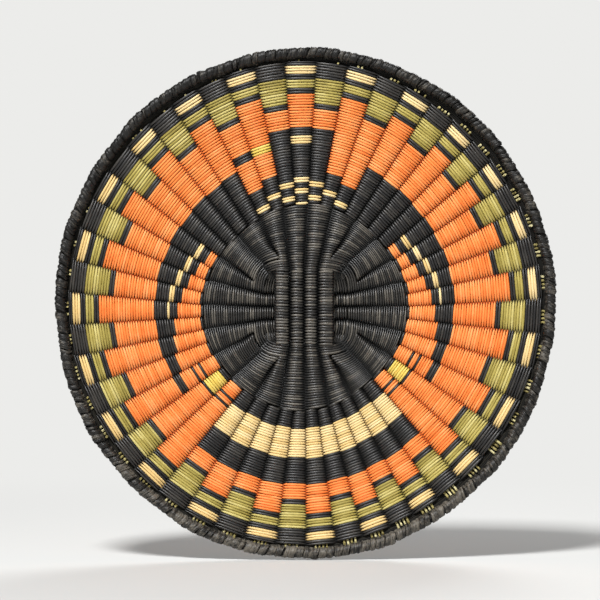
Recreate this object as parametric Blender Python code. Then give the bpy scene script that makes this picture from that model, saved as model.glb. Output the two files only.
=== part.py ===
# Wicker plaque: a shallow hand-woven dish of flat rib bundles and dyed wefts, bound round the rim.
# Metres, +Z up. The face looks along -Y, and the back of the middle lies on the plane y = 0.
# Angles run clockwise from the top, as seen from the front. Rows are counted inward from the rim.

import math

import bmesh
import bpy
from mathutils import Vector

# Overall size over the rim's binding, which is slightly taller than wide
OVERALL_WIDTH = 0.3147
OVERALL_HEIGHT = 0.3213
RIM_THICKNESS = 0.0075
# The rim's centre lies a little above the middle of the crossed mats
RIM_RISE = 0.0025

# Dish: flat in the middle, rising towards the viewer at the rim
DISH_DEPTH = 0.018
DISH_FLAT_RADIUS = 0.030
DISH_CURVE = 2.2

# Ribs: flat bundles of peeled stems, which widen towards the rim
RIB_COUNT = 48
RIB_THICKNESS = 0.0018
RIB_WIDTH_MIDDLE = 0.0026
RIB_WIDTH_RIM = 0.0065
RIB_TIP_WIDTH = 0.0013

# Wefts: round stems, seen here as fluted panels one weft thick on each side of the ribs
WEFT_THICKNESS = 0.0018
WEFT_VALLEY = 0.0011

# Two mats of four columns each cross in the middle: the upright one lies in front
COLUMN_PITCH = 0.00925
COLUMN_COUNT = 4
MAT_HALF_LENGTH = 0.0275
MAT_MARGIN = 0.0047

# The first ring ties the mats together, and the inner ring runs to where each bundle splits in two
FIRST_RING_DEPTH = 0.0115
SPREAD_BEFORE_SPLIT = 0.005
SPLIT_RADIUS = 0.0665
CORNER_STEP = Vector((0.0046, 0.0, -0.0053))
CORNER_REACH = Vector((0.0012, 0.0, 0.0006))

# Rows of the outer weave: 46 seen between the rim and the split, in bands of one colour
ROW_COUNT = 46
ROW_BORDER = 6
ROW_GREEN = 14
ROW_FIELD = 22
ROW_WINGTIP = 30
ROW_BODY = 38
ROW_EDGE_GAP = 0.0017

# Rim: a core of bent rib ends inside one long flat strip, wound on
BINDING_THICKNESS = 0.0010
BINDING_CORE_GAP = 0.0005
BINDING_TURNS = 60
BINDING_TURN_GAP = 0.0006
BINDING_SIDES = 6
CORE_SEGMENTS = 72

# Clearance between pieces that touch
CLEARANCE = 0.0003

# How far the ribs lean from an even fan, in degrees: where the fan starts, then the
# cosine and sine of one, two, three and four waves round the plaque
FAN_START_RIM = -2.1
FAN_START_SPLIT = -2.75
FAN_WAVES = ((0.8, -0.8), (0.3, -0.8), (0.5, 1.0), (-0.7, 0.2))
FAN_WAVE_AT_SPLIT = 0.5
# At the split the ribs still bunch up behind the four arms of the mats
ARM_BUNCHING = 1.6

COLOURS = {
    "orange": (0.90, 0.27, 0.05, 1),
    "green": (0.38, 0.38, 0.07, 1),
    "cream": (0.83, 0.64, 0.30, 1),
    "yellow": (0.72, 0.50, 0.05, 1),
    "black": (0.012, 0.013, 0.016, 1),
    "umber": (0.045, 0.036, 0.030, 1),
    "stem": (0.42, 0.33, 0.16, 1),
    "binding": (0.060, 0.050, 0.042, 1),
}

PANEL_HALF = RIB_THICKNESS / 2 + WEFT_THICKNESS
MAT_THICKNESS = 2 * PANEL_HALF
MAT_HALF_WIDTH = COLUMN_PITCH * (COLUMN_COUNT - 1) / 2 + MAT_MARGIN
MIDDLE_DEPTH = MAT_THICKNESS + CLEARANCE / 2
MAT_OFFSET = (MAT_THICKNESS + CLEARANCE) / 2
RING_START = MAT_HALF_LENGTH + CLEARANCE
RING_JOIN = MAT_HALF_LENGTH + FIRST_RING_DEPTH
SPREAD_RADIUS = SPLIT_RADIUS - SPREAD_BEFORE_SPLIT
BUNDLE_OFFSET = (RIB_WIDTH_MIDDLE + CLEARANCE) / 2
TIP_OFFSET = (RIB_TIP_WIDTH + CLEARANCE) / 2

RIM_HALF = RIM_THICKNESS / 2
RIM_RADII = (OVERALL_WIDTH / 2 - RIM_HALF, OVERALL_HEIGHT / 2 - RIM_HALF)
RIM_RADIUS = sum(RIM_RADII) / 2
RIM_CENTRE = Vector((0, 0, RIM_RISE))
FLAT_TO_CORNER = 1 / math.cos(math.pi / BINDING_SIDES)

TOWARDS_VIEWER = Vector((0, -1, 0))


def direction(degrees):
    angle = math.radians(degrees)
    return Vector((math.sin(angle), 0, math.cos(angle)))


def dish(radius):
    reach = max(0.0, radius - DISH_FLAT_RADIUS) / (RIM_RADIUS - DISH_FLAT_RADIUS)
    return DISH_DEPTH * reach**DISH_CURVE


def fan_wave(degrees):
    return sum(
        cosine * math.cos(math.radians((n + 1) * degrees))
        + sine * math.sin(math.radians((n + 1) * degrees))
        for n, (cosine, sine) in enumerate(FAN_WAVES)
    )


def rim_angle(rib):
    even = 360 / RIB_COUNT * rib
    return even + FAN_START_RIM + fan_wave(even)


def split_angle(rib):
    even = 360 / RIB_COUNT * rib + FAN_START_SPLIT
    bunched = even - ARM_BUNCHING * math.sin(math.radians(4 * even))
    return bunched + FAN_WAVE_AT_SPLIT * fan_wave(even)


def on_ellipse(angle, inset):
    # A point inside the rim's centreline by the inset, in the plane y = 0
    way = direction(angle)
    return RIM_CENTRE + Vector(
        (way.x * (RIM_RADII[0] - inset), 0, way.z * (RIM_RADII[1] - inset))
    )


def bound_half_angle():
    # Half of the angle at the plaque's middle that the binding strip covers
    return math.pi / BINDING_TURNS - BINDING_TURN_GAP / 2 / RIM_RADIUS


def rib_end_inset():
    # The strip is straight across its width, so it stands in from the true curve
    sag = RIM_RADIUS * (1 - math.cos(bound_half_angle()))
    return RIM_HALF + sag + CLEARANCE


def rib_width(row):
    return RIB_WIDTH_RIM + (RIB_WIDTH_MIDDLE - RIB_WIDTH_RIM) * row / ROW_COUNT


def outer_place(rib, row):
    # The middle of a rib at a row of the outer weave, straight between the bends of the dish
    split = direction(split_angle(rib)) * SPLIT_RADIUS
    edge = on_ellipse(rim_angle(rib), RIM_HALF + ROW_EDGE_GAP)
    bends = (ROW_COUNT, ROW_WINGTIP, ROW_GREEN, 0)
    for inner, outer in zip(bends, bends[1:]):
        if row >= outer:
            share = (inner - row) / (inner - outer)
            depth = (1 - share) * row_dish(inner) + share * row_dish(outer)
            break
    place = split.lerp(edge, 1 - row / ROW_COUNT)
    return place + TOWARDS_VIEWER * (MIDDLE_DEPTH + depth)


def row_dish(row):
    edge_radius = RIM_RADIUS - RIM_HALF - ROW_EDGE_GAP
    return dish(edge_radius + (SPLIT_RADIUS - edge_radius) * row / ROW_COUNT)


def rib_tip(rib):
    # The cut end of a rib, just inside the binding
    place = on_ellipse(rim_angle(rib), rib_end_inset())
    depth = dish(RIM_RADIUS - rib_end_inset())
    return place + TOWARDS_VIEWER * (MIDDLE_DEPTH + depth)


def ribs_of_bundle(bundle):
    # Twenty-four bundles of two ribs each; bundle 0 lies just left of the top
    return (2 * bundle - 1) % RIB_COUNT, (2 * bundle) % RIB_COUNT


def bundle_layout(bundle):
    # Quarter turn of the arm, and the bundle's place in it: -2 to 3, where -2 and 3 are corner bundles
    quarter, place = divmod(bundle + 2, RIB_COUNT // 8)
    return quarter, place - 2


def turned(point, quarter):
    for _ in range(quarter % 4):
        point = Vector((point.z, point.y, -point.x))
    return point


def inner_place(bundle, station):
    # Stations: 0 beside the mats, 1 where the two rings join, 2 before the split, 3 at the split
    first, second = ribs_of_bundle(bundle)
    at_split = (outer_place(first, ROW_COUNT) + outer_place(second, ROW_COUNT)) / 2
    if station == 3:
        return at_split
    if station == 2:
        flat = Vector((at_split.x, 0, at_split.z)).normalized() * SPREAD_RADIUS
        return flat + TOWARDS_VIEWER * (MIDDLE_DEPTH + dish(SPREAD_RADIUS))
    quarter, place = bundle_layout(bundle)
    side = -1 if place < 1 else 1
    column = abs(place - 0.5)
    in_front = MAT_OFFSET if quarter % 2 == 0 else -MAT_OFFSET
    if column < 2:
        across = column * COLUMN_PITCH
        if station == 0:
            point = Vector((side * across, 0, RING_START))
            rise = in_front
        else:
            point = arm_place_at_join(across, side, at_split, quarter)
            rise = in_front * 0.5
    else:
        outer_column = 1.5 * COLUMN_PITCH
        if station == 0:
            point = Vector((MAT_HALF_WIDTH, 0, MAT_HALF_LENGTH)) + CORNER_REACH
            rise = in_front * 0.3
        else:
            neighbour = bundle - side
            first, second = ribs_of_bundle(neighbour)
            aim = (outer_place(first, ROW_COUNT) + outer_place(second, ROW_COUNT)) / 2
            point = arm_place_at_join(outer_column, side, aim, quarter)
            point = Vector((abs(point.x), 0, point.z)) + CORNER_STEP
            rise = in_front * 0.15
        point.x *= side
    point = turned(point, quarter)
    point.y = 0
    return point + TOWARDS_VIEWER * (MIDDLE_DEPTH + rise)


def arm_place_at_join(across, side, at_split, quarter):
    # Straight from the mat's end towards the bundle's place at the split
    start = Vector((side * across, 0, MAT_HALF_LENGTH))
    aim = turned(Vector((at_split.x, 0, at_split.z)), -quarter)
    share = (RING_JOIN - start.z) / (aim.z - start.z)
    return start.lerp(aim, share)


def across_at(places, index):
    # The way across a rib, along its row
    count = len(places)
    way = places[(index + 1) % count] - places[(index - 1) % count]
    way.y = 0
    return way.normalized()


# A seat is where a tunnel for ribs crosses a row: its middle, the way across, and how far
# the tunnel reaches to each side. A reach of 0 leaves the weave solid there.
def seat(middle, across, reach):
    return {"middle": middle, "across": across, "reach": reach}


def outer_seats(row):
    places = [outer_place(rib, row) for rib in range(RIB_COUNT)]
    reach = rib_width(row) / 2 + CLEARANCE
    return [seat(p, across_at(places, n), reach) for n, p in enumerate(places)]


def inner_seats(station, corners_open):
    bundles = RIB_COUNT // 2
    places = [inner_place(bundle, station) for bundle in range(bundles)]
    seats = []
    for bundle, place in enumerate(places):
        corner = abs(bundle_layout(bundle)[1] - 0.5) > 2
        reach = BUNDLE_OFFSET + RIB_WIDTH_MIDDLE / 2 + CLEARANCE
        if station == 3:
            first, second = ribs_of_bundle(bundle)
            spread = outer_place(second, ROW_COUNT) - outer_place(first, ROW_COUNT)
            reach = spread.length / 2 + RIB_WIDTH_MIDDLE / 2 + CLEARANCE
            across = Vector((spread.x, 0, spread.z)).normalized()
        else:
            across = bundle_across(bundle, station, places)
        if corner and station == 1:
            reach = TIP_OFFSET + RIB_TIP_WIDTH / 2 + CLEARANCE
        if corner and not corners_open:
            reach = 0
        seats.append(seat(place, across, reach))
    return seats


def bundle_across(bundle, station, places):
    # Square to the arm beside the mats, and along the row elsewhere
    quarter, place = bundle_layout(bundle)
    if station < 2 and abs(place - 0.5) < 2:
        return turned(Vector((1, 0, 0)), quarter)
    return across_at(places, bundle)


def mat_seats(along, upright):
    # One seat for each column of a mat, at a distance along it from the middle
    seats = []
    for column in range(COLUMN_COUNT):
        across = (column - (COLUMN_COUNT - 1) / 2) * COLUMN_PITCH
        reach = BUNDLE_OFFSET + RIB_WIDTH_MIDDLE / 2 + CLEARANCE
        if upright:
            point = Vector((across, -MIDDLE_DEPTH - MAT_OFFSET, along))
            way = Vector((1, 0, 0))
        else:
            point = Vector((along, -MIDDLE_DEPTH + MAT_OFFSET, -across))
            way = Vector((0, 0, -1))
        seats.append(seat(point, way, reach))
    return seats


def fluted_panel(name, colour, rows, present, closed_ring, flat_back=False):
    # rows: a list of seats for each station, inner to outer. present: the cells of each stretch
    # between two stations. Each cell is a ridge over one tunnel, with a valley on each side.
    cells = len(rows[0])
    kept = {(c, s) for s, some in enumerate(present) for c in some}
    mesh = bmesh.new()
    made = {}

    def neighbour(cell, step):
        if closed_ring:
            return (cell + step) % cells
        return cell + step

    def valley_place(edge, station):
        # Between the cell before the edge and the cell after it
        seats = rows[station]
        if closed_ring or 0 < edge < cells:
            return (seats[edge - 1]["middle"] + seats[edge % cells]["middle"]) / 2
        outermost = seats[0] if edge == 0 else seats[-1]
        out = -MAT_MARGIN if edge == 0 else MAT_MARGIN
        return outermost["middle"] + outermost["across"] * out

    def drawn_in(place, station, step):
        # Half of the clearance towards the next station that the panel keeps
        here = place(station)
        if step == 0:
            return here
        there = place(station + step)
        return here + (there - here).normalized() * CLEARANCE / 2

    def corner(kind, index, station, side):
        if closed_ring and kind == "valley":
            index %= cells
        key = (kind, index, station, side)
        if key not in made:
            made[key] = mesh.verts.new(corner_point(kind, index, station, side))
        return made[key]

    def corner_point(kind, index, station, side):
        if kind == "valley":
            before = neighbour(index, -1)
            quarters = [
                (1, 1, (index, station)),
                (1, -1, (index, station - 1)),
                (-1, 1, (before, station)),
                (-1, -1, (before, station - 1)),
            ]
            held = [(a, b) for a, b, cell in quarters if cell in kept]
            aside = sign(sum(a for a, b in held))
            along = sign(sum(b for a, b in held))
            point = drawn_in(lambda s: valley_place(index, s), station, along)
            way = rows[station][min(index, cells - 1)]["across"]
            point = point + way * aside * CLEARANCE / 2
            depth = WEFT_VALLEY
        else:
            along = ((index, station) in kept) - ((index, station - 1) in kept)
            reach = {"crest": 0, "left": -1, "right": 1}[kind]

            def place(s):
                here = rows[s][index]
                return here["middle"] + here["across"] * here["reach"] * reach

            point = drawn_in(place, station, along)
            depth = PANEL_HALF if kind == "crest" else RIB_THICKNESS / 2 + CLEARANCE
        if flat_back and side < 0 and kind in ("valley", "crest"):
            depth = PANEL_HALF
        return point + TOWARDS_VIEWER * side * depth

    def face(*keys):
        mesh.faces.new([corner(*key) for key in keys])

    def strip(a, b, s):
        face((*a[:2], s, a[2]), (*b[:2], s, b[2]), (*b[:2], s + 1, b[2]), (*a[:2], s + 1, a[2]))

    for c, s in sorted(kept):
        around = [
            ("valley", c, 1),
            ("crest", c, 1),
            ("valley", c + 1, 1),
            ("valley", c + 1, -1),
            ("crest", c, -1),
            ("valley", c, -1),
        ]
        tunnel = [("left", c, 1), ("right", c, 1), ("right", c, -1), ("left", c, -1)]
        hollow = rows[s][c]["reach"] > 0
        for n, (a, b) in enumerate(zip(around, around[1:] + around[:1])):
            wall = n in (2, 5)
            beyond = neighbour(c, 1 if n == 2 else -1)
            if not wall or (beyond, s) not in kept:
                strip(a, b, s)
        if hollow:
            for a, b in zip(tunnel, tunnel[1:] + tunnel[:1]):
                strip(b, a, s)
        for station, beyond in ((s, s - 1), (s + 1, s + 1)):
            if (c, beyond) in kept:
                continue
            outline = [(kind, n, station, side) for kind, n, side in around]
            hole = [(kind, n, station, side) for kind, n, side in tunnel]
            cap(face, outline, hole if hollow else None)
    finish(name, colour, mesh)


def cap(face, outline, hole):
    left_front, top, right_front, right_back, bottom, left_back = outline
    if hole is None:
        face(left_front, top, bottom, left_back)
        face(top, right_front, right_back, bottom)
        return
    hole_lf, hole_rf, hole_rb, hole_lb = hole
    face(left_front, top, hole_lf)
    face(top, hole_rf, hole_lf)
    face(top, right_front, hole_rf)
    face(right_front, right_back, hole_rb, hole_rf)
    face(right_back, bottom, hole_rb)
    face(bottom, hole_lb, hole_rb)
    face(bottom, left_back, hole_lb)
    face(left_back, left_front, hole_lf, hole_lb)


def sign(value):
    return (value > 0) - (value < 0)


def lofted(name, colour, sections, closed):
    # Bridges a row of like outlines, with a flat end at each end unless the row is closed
    mesh = bmesh.new()
    rings = [[mesh.verts.new(point) for point in section] for section in sections]
    pairs = list(zip(rings, rings[1:]))
    if closed:
        pairs.append((rings[-1], rings[0]))
    else:
        mesh.faces.new(rings[0])
        mesh.faces.new(rings[-1])
    for near, far in pairs:
        for n in range(len(near)):
            m = (n + 1) % len(near)
            mesh.faces.new((near[n], near[m], far[m], far[n]))
    finish(name, colour, mesh)


def finish(name, colour, mesh):
    bmesh.ops.recalc_face_normals(mesh, faces=mesh.faces)
    data = bpy.data.meshes.new(name)
    mesh.to_mesh(data)
    mesh.free()
    data.shade_smooth()
    data.set_sharp_from_angle(angle=math.radians(35))
    material = bpy.data.materials.new(name)
    material.use_nodes = True
    shader = material.node_tree.nodes["Principled BSDF"]
    shader.inputs["Base Color"].default_value = COLOURS[colour]
    shader.inputs["Roughness"].default_value = 0.55
    shader.inputs["Metallic"].default_value = 0.0
    data.materials.append(material)
    piece = bpy.data.objects.new(name, data)
    bpy.context.collection.objects.link(piece)
    piece.parent = bpy.data.objects["plaque"]


def rib_section(middle, across, width):
    half = across * width / 2
    thick = TOWARDS_VIEWER * RIB_THICKNESS / 2
    return [middle - half + thick, middle + half + thick, middle + half - thick, middle - half - thick]


def outer_sections(rib):
    # From the split to the rim
    sections = []
    for row in (ROW_COUNT, ROW_WINGTIP, ROW_GREEN, 0):
        here = outer_seats(row)[rib]
        sections.append(rib_section(here["middle"], here["across"], rib_width(row)))
    end_way = outer_seats(0)[rib]["across"]
    sections.append(rib_section(rib_tip(rib), end_way, rib_width(0)))
    return sections


def inner_sections(rib):
    # From the mats, or from a corner's cut tip, to just before the split
    bundle = (rib + 1) % RIB_COUNT // 2
    side = -1 if rib == ribs_of_bundle(bundle)[0] else 1
    corner = abs(bundle_layout(bundle)[1] - 0.5) > 2
    sections = []
    for station in (1, 2) if corner else (0, 1, 2):
        here = inner_seats(station, True)[bundle]
        tip = corner and station == 1
        width = RIB_TIP_WIDTH if tip else RIB_WIDTH_MIDDLE
        offset = TIP_OFFSET if tip else BUNDLE_OFFSET
        middle = here["middle"] + here["across"] * side * offset
        sections.append(rib_section(middle, here["across"], width))
    return sections


def mat_sections(column, side, upright):
    sections = []
    for along in (-MAT_HALF_LENGTH, MAT_HALF_LENGTH):
        here = mat_seats(along, upright)[column]
        middle = here["middle"] + here["across"] * side * BUNDLE_OFFSET
        sections.append(rib_section(middle, here["across"], RIB_WIDTH_MIDDLE))
    return sections


def turned_over(section):
    # The far half of a long rib meets its section from the other side
    return [section[1], section[0], section[3], section[2]]


def long_rib(name, far_rib, near_rib, column, side, upright):
    # One rib from rim to rim through a mat: far end, middle, near end
    far = [turned_over(s) for s in inner_sections(far_rib) + outer_sections(far_rib)]
    near = inner_sections(near_rib) + outer_sections(near_rib)
    middle = mat_sections(column, side, upright)
    lofted(name, "stem", far[::-1] + middle + near, closed=False)


def make_ribs():
    half_turn = RIB_COUNT // 2
    for n in range(2 * COLUMN_COUNT):
        column, half = divmod(n, 2)
        side = 2 * half - 1
        top = (n - COLUMN_COUNT + 1) % RIB_COUNT
        bottom = half_turn + COLUMN_COUNT - n
        long_rib(f"upright_rib_{n + 1}", bottom, top, column, side, True)
        right = half_turn // 2 - COLUMN_COUNT + 1 + n
        left = half_turn + half_turn // 2 + COLUMN_COUNT - n
        long_rib(f"level_rib_{n + 1}", left, right, column, side, False)
    corners = ("upper_right", "lower_right", "lower_left", "upper_left")
    for quarter, corner in enumerate(corners):
        for n in range(COLUMN_COUNT):
            rib = (quarter * half_turn // 2 + COLUMN_COUNT + 1 + n) % RIB_COUNT
            sections = inner_sections(rib) + outer_sections(rib)
            lofted(f"{corner}_rib_{n + 1}", "stem", sections, closed=False)


def make_mats():
    everything = [range(COLUMN_COUNT)]
    for name, upright in (("front_mat_weave", True), ("back_mat_weave", False)):
        rows = [mat_seats(along, upright) for along in (-MAT_HALF_LENGTH, MAT_HALF_LENGTH)]
        fluted_panel(name, "umber", rows, everything, closed_ring=False, flat_back=not upright)


def make_rings():
    bundles = range(RIB_COUNT // 2)
    first = [inner_seats(station, False) for station in (0, 1)]
    fluted_panel("first_ring_weave", "umber", first, [bundles], closed_ring=True)
    inner = [inner_seats(station, True) for station in (1, 2, 3)]
    fluted_panel("inner_ring_weave", "umber", inner, [bundles, bundles], closed_ring=True)


def outer_panel(name, colour, rows, present):
    seats = [outer_seats(row) for row in rows]
    cells = [[rib % RIB_COUNT for rib in some] for some in present]
    fluted_panel(name, colour, seats, cells, closed_ring=True)


def mirrored(ribs):
    return [-rib for rib in ribs]


def make_outer_weave():
    everywhere = range(RIB_COUNT)
    outer_panel("border_ring_weave", "black", (ROW_BORDER, 0), [everywhere])
    outer_panel("green_ring_weave", "green", (ROW_GREEN, ROW_BORDER), [everywhere])
    # The bird's figure, as ranges of ribs counted from the top
    head = range(-1, 2)
    shoulders = range(-3, 4)
    tail = range(19, 30)
    wing_root = range(4, 8)
    wing = range(4, 17)
    body = range(8, 17)
    talon = range(17, 19)
    field = range(2, 19)
    field_gaps = [2, 3, *talon]
    outer_panel("field_above_head_weave", "orange", (ROW_FIELD, ROW_GREEN), [head])
    outer_panel("field_below_tail_weave", "orange", (ROW_FIELD, ROW_GREEN), [tail])
    for side, across in (("right", list), ("left", mirrored)):
        rows = (ROW_BODY, ROW_WINGTIP, ROW_GREEN)
        outer_panel(f"{side}_field_weave", "orange", rows, [across(field_gaps), across(field)])
        rows = (ROW_COUNT, ROW_BODY, ROW_WINGTIP)
        outer_panel(f"{side}_wing_weave", "black", rows, [across(wing_root), across(wing)])
        rows = (ROW_COUNT, ROW_BODY)
        outer_panel(f"{side}_body_weave", "orange", rows, [across(body)])
        outer_panel(f"{side}_talon_weave", "yellow", rows, [across(talon)])
    rows = (ROW_COUNT, ROW_BODY, ROW_WINGTIP, ROW_FIELD)
    outer_panel("head_weave", "black", rows, [shoulders, head, head])
    outer_panel("tail_base_weave", "black", (ROW_COUNT, ROW_BODY), [tail])
    outer_panel("tail_band_weave", "cream", (ROW_BODY, ROW_WINGTIP), [tail])
    outer_panel("tail_tip_weave", "black", (ROW_WINGTIP, ROW_FIELD), [tail])


def rim_point(turn, section_angle, flat_radius):
    # A point on the rim: turn is the angle round the plaque, section_angle the one round the rim
    way = Vector((math.sin(turn), 0, math.cos(turn)))
    centre = RIM_CENTRE + Vector((way.x * RIM_RADII[0], 0, way.z * RIM_RADII[1]))
    centre += TOWARDS_VIEWER * (MIDDLE_DEPTH + DISH_DEPTH)
    out = way * math.cos(section_angle) + TOWARDS_VIEWER * math.sin(section_angle)
    return centre + out * flat_radius * FLAT_TO_CORNER


def side_angle(side):
    return 2 * math.pi * (side + 0.5) / BINDING_SIDES


def make_rim_core():
    radius = RIM_HALF - BINDING_THICKNESS - BINDING_CORE_GAP
    sections = []
    for n in range(CORE_SEGMENTS):
        turn = 2 * math.pi * n / CORE_SEGMENTS
        sections.append([rim_point(turn, side_angle(side), radius) for side in range(BINDING_SIDES)])
    lofted("rim_core", "stem", sections, closed=True)


def make_rim_binding():
    # One flat strip wound round the core from end to end, its turns edge to edge
    inner = RIM_HALF - BINDING_THICKNESS
    half = bound_half_angle()
    steps = BINDING_TURNS * BINDING_SIDES
    turns = [2 * math.pi * n / steps for n in range(steps)]
    sections = []
    for n, turn in enumerate(turns):
        angle = side_angle(n)
        sections.append(
            [
                rim_point(turn - half, angle, inner),
                rim_point(turn + half, angle, inner),
                rim_point(turn + half, angle, RIM_HALF),
                rim_point(turn - half, angle, RIM_HALF),
            ]
        )
    lofted("rim_binding", "binding", sections, closed=False)
    print(f"rim_binding: least gap between turns {1000 * least_gap(sections):.2f} mm")


def least_gap(sections, samples=8):
    # From each leading edge to the trailing edge one turn on, at points along both
    def along(edge, first, count):
        points = []
        for n in range(first, first + count):
            a, b = sections[n][edge], sections[n + 1][edge]
            points += [a.lerp(b, k / samples) for k in range(samples)]
        return points

    least = math.inf
    span = BINDING_SIDES + 2
    for n in range(0, len(sections) - BINDING_SIDES - span, 2):
        for edge, facing in ((1, 0), (2, 3)):
            near = along(edge, n, 2)
            far = along(facing, n + BINDING_SIDES - 2, span - 2)
            least = min(least, min((a - b).length for a in near for b in far))
    return least


def main():
    for item in list(bpy.data.objects):
        bpy.data.objects.remove(item, do_unlink=True)
    frame = bpy.data.objects.new("plaque", None)
    bpy.context.collection.objects.link(frame)
    make_ribs()
    make_mats()
    make_rings()
    make_outer_weave()
    make_rim_core()
    make_rim_binding()


main()
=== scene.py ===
import math
import random

import bpy
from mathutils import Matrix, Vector


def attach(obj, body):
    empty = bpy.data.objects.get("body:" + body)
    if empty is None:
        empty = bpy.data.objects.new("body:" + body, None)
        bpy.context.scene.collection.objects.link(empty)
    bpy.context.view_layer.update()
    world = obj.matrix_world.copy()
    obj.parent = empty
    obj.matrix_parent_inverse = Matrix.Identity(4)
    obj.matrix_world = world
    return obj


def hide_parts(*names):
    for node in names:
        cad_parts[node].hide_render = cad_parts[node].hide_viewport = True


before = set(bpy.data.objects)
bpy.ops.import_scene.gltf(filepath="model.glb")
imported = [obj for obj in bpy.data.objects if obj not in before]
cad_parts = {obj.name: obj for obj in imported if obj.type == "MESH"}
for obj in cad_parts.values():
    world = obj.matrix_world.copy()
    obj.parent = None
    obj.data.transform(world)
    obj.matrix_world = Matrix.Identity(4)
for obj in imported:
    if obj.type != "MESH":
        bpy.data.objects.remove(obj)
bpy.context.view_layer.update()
print("stage: frame loaded")

# Sizes of the plaque in metres, as the frame has them. Angles run clockwise from the top.
# Places in the outer weave are counted in even rows, from the rim in to the split of the ribs.
plaque = {
    "width": 0.3147,
    "height": 0.3213,
    "rimThickness": 0.0075,
    "rimRise": 0.0025,
    "dishDepth": 0.018,
    "dishFlat": 0.030,
    "dishCurve": 2.2,
    "ribs": 48,
    "weft": 0.0018,
    "matHalfWidth": 0.0186,
    "splitRadius": 0.0665,
    "rows": 46,
    "edgeGap": 0.0017,
    "middleDepth": 0.00555,
    "matOffset": 0.00285,
}
# The ribs' fan isn't even: where it starts, in degrees, and how it drifts round the plaque
fan = {
    "startRim": -2.1,
    "startSplit": -2.75,
    "waves": ((0.8, -0.8), (0.3, -0.8), (0.5, 1.0), (-0.7, 0.2)),
    "waveAtSplit": 0.5,
    "bunching": 1.6,
}

towardsViewer = Vector((0, -1, 0))
rimHalf = plaque["rimThickness"] / 2
rimRadii = (plaque["width"] / 2 - rimHalf, plaque["height"] / 2 - rimHalf)
rimRadius = sum(rimRadii) / 2
rimCentre = Vector((0, 0, plaque["rimRise"]))
crestRadius = plaque["weft"] / 2
ribCount = plaque["ribs"]
bundles = ribCount // 2  # inside the split two ribs run as one


def direction(degrees):
    angle = math.radians(degrees)
    return Vector((math.sin(angle), 0, math.cos(angle)))


def mix(a, b, share):
    return a + (b - a) * share


def dish(radius):
    reach = max(0.0, radius - plaque["dishFlat"]) / (rimRadius - plaque["dishFlat"])
    return plaque["dishDepth"] * reach ** plaque["dishCurve"]


def dishSlope(radius):
    step = 0.001
    return (dish(radius + step) - dish(radius - step)) / (2 * step)


def dishNormal(place, radius):
    outward = Vector((place.x, 0, place.z - plaque["rimRise"])).normalized()
    return (towardsViewer - outward * dishSlope(radius)).normalized()


def sumWaves(total, waves, degrees):
    for n, (cosine, sine) in enumerate(waves, start=1):
        angle = math.radians(n * degrees)
        total += cosine * math.cos(angle) + sine * math.sin(angle)
    return total


def evenAngle(rib):
    return 360 / ribCount * rib


def rimAngle(rib):
    even = evenAngle(rib)
    return even + fan["startRim"] + sumWaves(0, fan["waves"], even)


def splitAngle(rib):
    # The ribs bunch together on the four arms of the cross
    even = evenAngle(rib) + fan["startSplit"]
    bunched = even - fan["bunching"] * math.sin(math.radians(4 * even))
    return bunched + fan["waveAtSplit"] * sumWaves(0, fan["waves"], even)


def onRimEllipse(angle, inset):
    way = direction(angle)
    return rimCentre + Vector((way.x * (rimRadii[0] - inset), 0, way.z * (rimRadii[1] - inset)))


# Outer weave: a place on a row, counted inward from the rim, at any fraction of a rib
def outerRadius(row):
    edge = rimRadius - rimHalf - plaque["edgeGap"]
    return mix(edge, plaque["splitRadius"], row / plaque["rows"])


def outerPlace(rib, row):
    split = direction(splitAngle(rib)) * plaque["splitRadius"]
    edge = onRimEllipse(rimAngle(rib), rimHalf + plaque["edgeGap"])
    flat = edge.lerp(split, row / plaque["rows"])
    return flat + towardsViewer * (plaque["middleDepth"] + dish(outerRadius(row)))


# The woven rows wander in and out a little: where the first and the last lie, in even rows, by
# angle. The outermost are crowded together by the rim, and those past it are left out.
weave = {
    "rows": 52,
    "rim": (-0.38, ((-0.05, 0.48), (0.06, -0.02), (-0.14, 0.30), (-0.59, -0.20))),
    "split": (47.36, ((0.03, 0.36), (-0.24, -0.44), (-0.11, 0.09), (-0.53, -0.19))),
    "middle": (0.07, ((-0.11, 0.10), (0.00, -0.25))),
    "edge": -0.4,
    "edgeSoftness": 0.35,
    "pastEdge": 0.35,
    "leastSpread": 0.45,
    "drift": 0.06,
    "seam": 0.0002,
}


def wander(name, degrees):
    return sumWaves(*weave[name], degrees)


def freeReach(rib, level):
    degrees = evenAngle(rib)
    share = level / weave["rows"]
    reach = mix(wander("rim", degrees), wander("split", degrees), share)
    return reach + 4 * share * (1 - share) * wander("middle", degrees)


def rowReach(rib, level):
    edge, soft = weave["edge"], weave["edgeSoftness"]
    return edge + soft * math.log1p(math.exp((freeReach(rib, level) - edge) / soft))


def splitEdge(degrees):
    rib = (degrees - fan["startSplit"]) / 360 * ribCount
    place = outerPlace(rib, rowReach(rib, weave["rows"]))
    return math.hypot(place.x, place.z) - weave["seam"]


# Inner weave: rows run from beside the mats, where they are nearly square, out to the round split
inner = {
    "rows": 50,
    "startWidth": 0.0266,
    "startHeight": 0.0236,
    "squareness": 5.5,
    "routeStart": 0.001,
    "cornerRow": 9,
    "cornerTip": (0.0176, 0.0322),
    "cornerBend": (0.0259, 0.0385),
    "bendShare": 0.28,
    "liftShares": {0.5: 1.0, 1.5: 0.9, 2.5: 0.3},  # by a bundle's distance from its arm's middle
    "liftEnds": 0.65,
    "firstRing": 18,
    "wideGap": 0.013,
    "overlap": 1.02,
}
matColumns = {
    "upright": (-0.0144, -0.0052, 0.0034, 0.0122),
    "level": (0.0122, 0.0043, -0.0039, -0.0123),
}


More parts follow.
